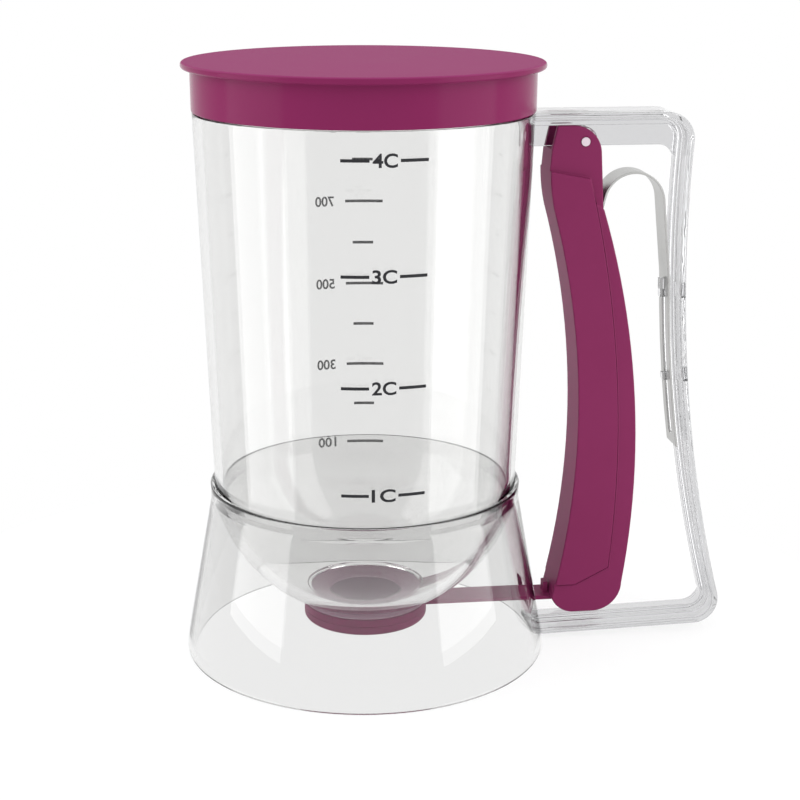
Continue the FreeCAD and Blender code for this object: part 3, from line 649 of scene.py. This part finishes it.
def loop_section():
    """The loop's T section (depth, across): a band on the outside and a rib inside it."""
    edge = 0.55 * MM
    root = 1.2 * MM
    half = [
        (0, BAND_HALF_WIDTH, edge),
        (BAND, BAND_HALF_WIDTH, edge),
        (BAND, RIB_HALF_WIDTH, root),
        (RIB_DEPTH, RIB_HALF_WIDTH, 0.5 * MM),
    ]
    other = [(depth, -across, radius) for depth, across, radius in reversed(half)]
    return rounded(half + other, steps=5)


def root_x(z):
    """X at which the handle's middle plane meets the jug's outside."""
    return float(on_jug(np.array([[0, 0, z]]))[0])


def grip_x(depth, z):
    """X on the bowed grip at a height, a depth inside its outer face."""
    return GRIP_X + GRIP_RADIUS - math.sqrt((GRIP_RADIUS + depth) ** 2 - (z - GRIP_Z) ** 2)


def beside_grip(corners):
    """The outline (x, z) of corners (depth, z) that follow the bowed grip."""
    return np.array([(grip_x(depth, z), z) for depth, z in corners])


def web_outline():
    """The web under the top bar: foot, rounded corner, back inside the grip, top inside the bar."""
    corner_x = grip_x(RIB_DEPTH, WEB_FOOT) - WEB_CORNER
    corner_z = WEB_FOOT - WEB_CORNER
    back = grip_x(BAND, corner_z)
    top = HANDLE_TOP - WEB_SUNK
    return np.concatenate([
        [[root_x(WEB_FOOT), WEB_FOOT]],
        arc((corner_x, corner_z), WEB_CORNER, 90, 0, 12),
        [[back, corner_z], [back, HANDLE_TOP - TOP_CORNER], [back - 4 * MM, top]],
        [[root_x(HANDLE_TOP), top]],
    ])


def hook(foot, tip):
    """A hook for the spring, from the grip's rib out to its tip and back."""
    top = foot + HOOK_HEIGHT
    neck = HOOK_REACH - HOOK_LIP
    corners = [(HOOK_ROOT, foot), (HOOK_REACH, foot), *tip, (neck, top), (HOOK_ROOT, top)]
    return plate("hook", beside_grip(corners), HOOK_HALF_WIDTH, 0.2 * MM)


def pocket(foot):
    """The shape that is cut from the grip's outer face behind a hook."""
    top = foot + POCKET_HEIGHT
    corners = [(-POCKET_PROUD, foot), (POCKET, foot), (POCKET, top), (-POCKET_PROUD, top)]
    return plate("pocket", beside_grip(corners), POCKET_HALF_WIDTH, 0.1 * MM)


def make_handle(clear):
    """The T-section loop with the web under its top, the boss and the spring's hooks."""
    path = loop_path()
    path = path[path[:, 0] > root_x(2 * MM) - 6 * MM]
    piece = sweep("handle", path, loop_section(), on_jug)
    nose = UPPER_HOOK + HOOK_NOSE
    tools = [
        plate("web", web_outline(), WEB_HALF_WIDTH, 0.15 * MM),
        rod("boss", PIN_X, PIN_Z, BOSS_RADIUS, BOSS_HALF_WIDTH, 0.3 * MM),
        hook(UPPER_HOOK, [(HOOK_REACH, nose), (HOOK_REACH - HOOK_LIP, nose)]),
        hook(LOWER_HOOK, [(HOOK_REACH, LOWER_HOOK + HOOK_HEIGHT)]),
    ]
    combine(piece, tools, "UNION")
    cuts = [
        rod("bore", PIN_X, PIN_Z, PIN_RADIUS + BORE_PLAY, 2 * BOSS_HALF_WIDTH, 0.1 * MM),
        pocket(UPPER_HOOK),
        pocket(LOWER_HOOK),
    ]
    combine(piece, cuts, "DIFFERENCE")
    even = piece.modifiers.new("even shading", "WEIGHTED_NORMAL")
    even.keep_sharp = True
    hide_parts("handle_frame")
    return dress(piece, "stand", clear)


# The spring and the seal


def softened(name, source, edge):
    """A copy of a CAD piece with its doubles merged and its edges rounded."""
    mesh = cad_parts[source].data.copy()
    mesh.name = name
    work = bmesh.new()
    work.from_mesh(mesh)
    bmesh.ops.remove_doubles(work, verts=work.verts, dist=2e-6)
    bmesh.ops.dissolve_limit(work, angle_limit=math.radians(1), verts=work.verts, edges=work.edges)
    bmesh.ops.recalc_face_normals(work, faces=work.faces)
    work.to_mesh(mesh)
    work.free()
    if "custom_normal" in mesh.attributes:
        mesh.attributes.remove(mesh.attributes["custom_normal"])
    mesh.shade_smooth()
    mesh.set_sharp_from_angle(angle=math.radians(30))
    made = bpy.data.objects.new(name, mesh)
    bpy.context.scene.collection.objects.link(made)
    rounding = made.modifiers.new("rounding", "BEVEL")
    rounding.width = edge
    rounding.segments = 3
    rounding.limit_method = "ANGLE"
    rounding.angle_limit = math.radians(32)
    rounding.use_clamp_overlap = False
    rounding.harden_normals = True
    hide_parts(source)
    return made


def make_spring(steel):
    """The leaf spring, its rear leg on the grip and its front leg on the trigger: a rounded copy of the CAD
    piece in steel, its place baked into its points.
    """
    piece = softened("spring", "leaf_spring", 0.12 * MM)
    piece.data.materials.clear()
    piece.data.materials.append(steel)
    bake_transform(piece)


def make_seal(silicone):
    """The soft seal: stem and flange as one profile, its face pressed a hair into the jug's seat."""
    face = SEAT + WELD
    foot = CUP_FOOT + 2.0 * MM
    stem = 16.6 * MM
    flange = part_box("valve_seal")[1].x
    under = SEAL_TOP - 0.5 * MM
    corners = [
        (0, foot, 0),
        (stem, foot, 0.4 * MM),
        (stem, under, 0),
        (flange, under, 0.2 * MM),
        (flange, face, 0.2 * MM),
        (0, face, 0),
    ]
    piece = lathe("seal", rounded(corners, closed=False), on_axis=True)
    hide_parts("valve_seal")
    return dress(piece, "valve_lever", silicone)


# The printing and the cap


def glyphs(text):
    """Points (across, up) of a word in the plain font, made bolder, from -1 to 1, and its faces."""
    curve = bpy.data.curves.new("word", "FONT")
    curve.body = text
    curve.resolution_u = 6
    curve.offset = 0.022
    word = bpy.data.objects.new("word", curve)
    bpy.context.scene.collection.objects.link(word)
    bpy.context.view_layer.update()
    mesh = bpy.data.meshes.new_from_object(word.evaluated_get(bpy.context.evaluated_depsgraph_get()))
    work = bmesh.new()
    work.from_mesh(mesh)
    bmesh.ops.remove_doubles(work, verts=work.verts, dist=1e-5)
    bmesh.ops.subdivide_edges(work, edges=[e for e in work.edges if e.calc_length() > 0.2], cuts=2)
    bmesh.ops.triangulate(work, faces=work.faces)
    points = np.array([vertex.co.xy[:] for vertex in work.verts])
    faces = [[vertex.index for vertex in face.verts] for face in work.faces]
    work.free()
    bpy.data.objects.remove(word)
    low, high = points.min(0), points.max(0)
    return 2 * (points - low) / (high - low) - 1, faces


def printed(name, words, azimuth, half_width, half_height, ink):
    """Words wrapped on the jug: angle = azimuth + across / radius, radius that of the wall or collar.

    Each word is (text, across, height of its middle)."""
    points, faces = [], []
    for text, across, middle in words:
        flat, triangles = glyphs(text)
        z = middle + half_height * flat[:, 1]
        radius = wall_radius(z) + INK_LIFT + np.where(middle < COLLAR_TOP, COLLAR_WALL, 0)
        angle = math.radians(azimuth) + (across + half_width * flat[:, 0]) / radius
        count = sum(len(part) for part in points)
        points.append(np.stack([radius * np.cos(angle), radius * np.sin(angle), z], 1))
        faces += [[count + corner for corner in face] for face in triangles]
    mesh = bpy.data.meshes.new(name)
    mesh.from_pydata(np.concatenate(points).tolist(), [], faces)
    made = bpy.data.objects.new(name, mesh)
    bpy.context.scene.collection.objects.link(made)
    film = made.modifiers.new("film", "SOLIDIFY")
    film.thickness = INK_FILM
    film.offset = 0
    return dress(made, "stand", ink)


def make_lid(magenta):
    """The cap: flat top, rounded overhanging rim and a skirt round the neck."""
    inside = NECK_RADIUS + CAP_PLAY
    outside = inside + CAP_WALL
    plate_foot = HEIGHT - CAP_PLATE
    corners = [
        (0, plate_foot, 0),
        (inside, plate_foot, 0.3 * MM),
        (inside, LID_FOOT, 0.4 * MM),
        (outside - 0.1 * MM, LID_FOOT, 0.4 * MM),
        (outside, plate_foot, 0.5 * MM),
        (LID_RADIUS, plate_foot, 0.85 * MM),
        (LID_RADIUS, HEIGHT, 0.95 * MM),
        (0, HEIGHT, 0),
    ]
    piece = lathe("cap", rounded(corners, closed=False, steps=11), on_axis=True, step=0.6 * MM)
    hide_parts("lid")
    return dress(piece, "lid", magenta)


# The stage


def make_floor():
    """A round white table under the object. Beyond it the white world goes on."""
    angle = np.linspace(0, 2 * np.pi, TABLE_SIDES, endpoint=False)
    points = np.stack([TABLE_RADIUS * np.cos(angle), TABLE_RADIUS * np.sin(angle), 0 * angle - TABLE_DROP], 1)
    floor = solid("floor", points, [list(range(TABLE_SIDES))])
    floor.data.materials.append(pale_floor())


def make_world():
    """An even white all round, which the camera, gloss and glass all see as white."""
    world = bpy.data.worlds.new("studio")
    bpy.context.scene.world = world
    world.use_nodes = True
    light = world.node_tree.nodes["Background"]
    light.inputs["Color"].default_value = (1, 1, 1, 1)
    light.inputs["Strength"].default_value = 1.0


def make_softbox(name, azimuth):
    """A tall soft lamp at an azimuth in degrees, turned to the jug's axis."""
    lamp = bpy.data.lights.new(name, "AREA")
    lamp.shape = "RECTANGLE"
    lamp.size = LAMP_WIDTH
    lamp.size_y = LAMP_LENGTH
    lamp.energy = LAMP_POWER
    made = bpy.data.objects.new(name, lamp)
    turn = math.radians(azimuth)
    place = np.array([LAMP_DISTANCE * math.cos(turn), LAMP_DISTANCE * math.sin(turn), LAMP_HEIGHT])
    aim(made, place, np.array([0, 0, LAMP_HEIGHT]) - place)
    bpy.context.scene.collection.objects.link(made)


def aim(thing, place, forward, roll=0.0):
    """Puts a camera or lamp at a place, looking along forward, turned by roll about it."""
    forward = forward / np.linalg.norm(forward)
    right = np.cross(forward, (0, 0, 1))
    right /= np.linalg.norm(right)
    up = np.cross(right, forward)
    side = math.cos(roll) * right + math.sin(roll) * up
    upright = np.cross(side, forward)
    matrix = np.eye(4)
    matrix[:3] = np.stack([side, upright, -forward, place], 1)
    thing.matrix_world = Matrix(matrix.tolist())


def make_camera():
    """The photo's point of view, from its fit to the cap, the base and the axis."""
    data = bpy.data.cameras.new("camera")
    data.lens = LENS
    data.sensor_width = SENSOR
    made = bpy.data.objects.new("camera", data)
    level = math.cos(VIEW_PITCH)
    forward = np.array([math.sin(VIEW_YAW) * level, math.cos(VIEW_YAW) * level, -math.sin(VIEW_PITCH)])
    aim(made, np.array(VIEW_POINT), forward, VIEW_ROLL)
    bpy.context.scene.collection.objects.link(made)
    bpy.context.scene.camera = made


def finish_nodes(pin, ink):
    """Materials of the CAD nodes that stay."""
    finishes = {
        "pivot_pin": pin,
        "cup_scale": ink,
        "millilitre_scale": ink,
    }
    for name, material in finishes.items():
        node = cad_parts[name]
        node.data.materials.clear()
        node.data.materials.append(material)


# The object in its studio

clear = clear_plastic("clear_plastic", wave=18.0, ripple=0.00004, tint=(0.88, 0.88, 0.876))
clear_handle = clear_plastic("clear_handle", wave=60.0, ripple=0.00012, tint=(0.67, 0.67, 0.68))
# The skirt's tint is darker than the jug's: partly the plastic's own tint, partly painted shade for the
# shadow inside the base.
shaded_clear_skirt = clear_plastic("shaded_clear_skirt", wave=18.0, ripple=0.00004, tint=(0.82, 0.82, 0.817))
magenta = magenta_plastic("magenta_plastic", roughness=0.45, grain=0.000006, specular=0.14)
magenta_gloss = magenta_plastic("magenta_gloss", roughness=0.14, grain=0.000002, specular=0.07, satin=0.45)
make_camera()
make_floor()
make_world()
make_softbox("softbox_left", -170.5)
make_softbox("softbox_right", -27.5)
make_jug(clear)
make_skirt(shaded_clear_skirt)
make_handle(clear_handle)
make_lid(magenta_gloss)
steel = strip_steel("spring_steel", 400.0, (1, 8, 1), (0.38, 0.38, 0.37), (0.54, 0.54, 0.53), 1.0)
ink = scale_ink()
# The pin's pink tint is a painted reflection of the magenta parts around it.
pin = strip_steel("pin_steel", 900.0, (1, 1, 1), (0.62, 0.52, 0.58), (0.7, 0.6, 0.65), 0.5)
finish_nodes(pin, ink)
make_spring(steel)
make_seal(seal_silicone())
dress(softened("lever", "trigger", 0.45 * MM), "valve_lever", magenta)
dress(softened("arm", "valve_arm", 0.2 * MM), "valve_lever", magenta)
dress(softened("cup", "valve_cup", 0.2 * MM), "valve_lever", magenta)
cups = [(f"{n + 1}C", 0, CUP_MARK + n * CUP_PITCH) for n in range(4)]
printed("cup_numbers", cups, -90, CUP_HALF_WIDTH, CUP_HALF_HEIGHT, ink)
steps = range(0, 8, 2)
hundreds = [(str(100 + 100 * n), HUNDRED_ASIDE, HUNDRED_MARK + n * HUNDRED_PITCH) for n in steps]
printed("millilitre_numbers", hundreds, 90, HUNDRED_HALF_WIDTH, HUNDRED_HALF_HEIGHT, ink)

scene = bpy.context.scene
scene.view_settings.view_transform = "Standard"
scene.cycles.max_bounces = 32
scene.cycles.transmission_bounces = 32
scene.cycles.transparent_max_bounces = 32
